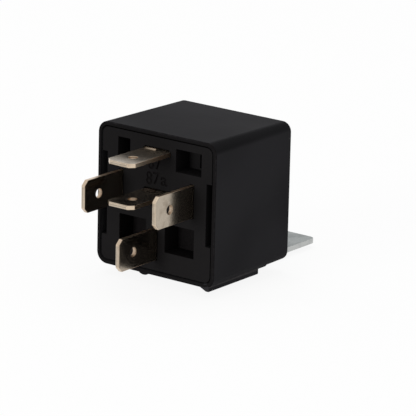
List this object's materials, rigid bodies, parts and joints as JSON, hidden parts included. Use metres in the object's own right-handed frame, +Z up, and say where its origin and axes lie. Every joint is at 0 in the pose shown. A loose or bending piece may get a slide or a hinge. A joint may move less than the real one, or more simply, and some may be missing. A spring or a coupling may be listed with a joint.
{
  "type": "automotive relay",
  "caption": "Plug-in changeover relay in a square plastic case, with flat blade terminals at one end and a steel fixing bracket at the other.",
  "frame": {"origin": "centre of the whole outline in X and Y, on the surface that the case lies on", "axes": "+Y from the blade tips to the bracket's end, +Z up through the fixing hole, X across the case"},
  "size_m": [0.028, 0.0524, 0.03],
  "materials": {
    "case_plastic": "fine satin, slightly glossy on its flats",
    "base_plastic": "satin moulded",
    "bracket_steel": "dull zinc plate",
    "terminal_brass": "dull tin over brass, darkened on the broad faces",
    "magnet_iron": "zinc plated",
    "bobbin_plastic": "satin",
    "winding_copper": "varnished copper wire",
    "spring_bronze": "rolled",
    "contact_silver": "polished",
    "rivet_steel": "plated"
  },
  "bodies": {
    "case": {"cover": "case_plastic", "base_plate": "base_plastic", "bracket": "bracket_steel", "terminal_30": "terminal_brass", "terminal_85": "terminal_brass", "terminal_86": "terminal_brass", "terminal_87": "terminal_brass", "terminal_87a": "terminal_brass", "yoke": "magnet_iron", "core": "magnet_iron", "bobbin": "bobbin_plastic", "coil_winding": "winding_copper", "coil_lead_85": "winding_copper", "coil_lead_86": "winding_copper", "fixed_contact_87": "contact_silver", "fixed_contact_87a": "contact_silver", "yoke_rivets": "rivet_steel"},
    "armature_unit": {"armature": "magnet_iron", "contact_spring": "spring_bronze", "moving_contact": "contact_silver", "armature_rivets": "rivet_steel"}
  },
  "joints": [
    {"name": "armature_pivot", "type": "hinge", "parent": "case", "child": "armature_unit", "pos_m": [0, 0.00336, 0.00505], "axis": [1, 0, 0], "range_deg": [0, 2.2], "stiffness_Nm_per_rad": 0.02, "springref_deg": -57.3, "deforming": ["contact_spring"]}
  ]
}
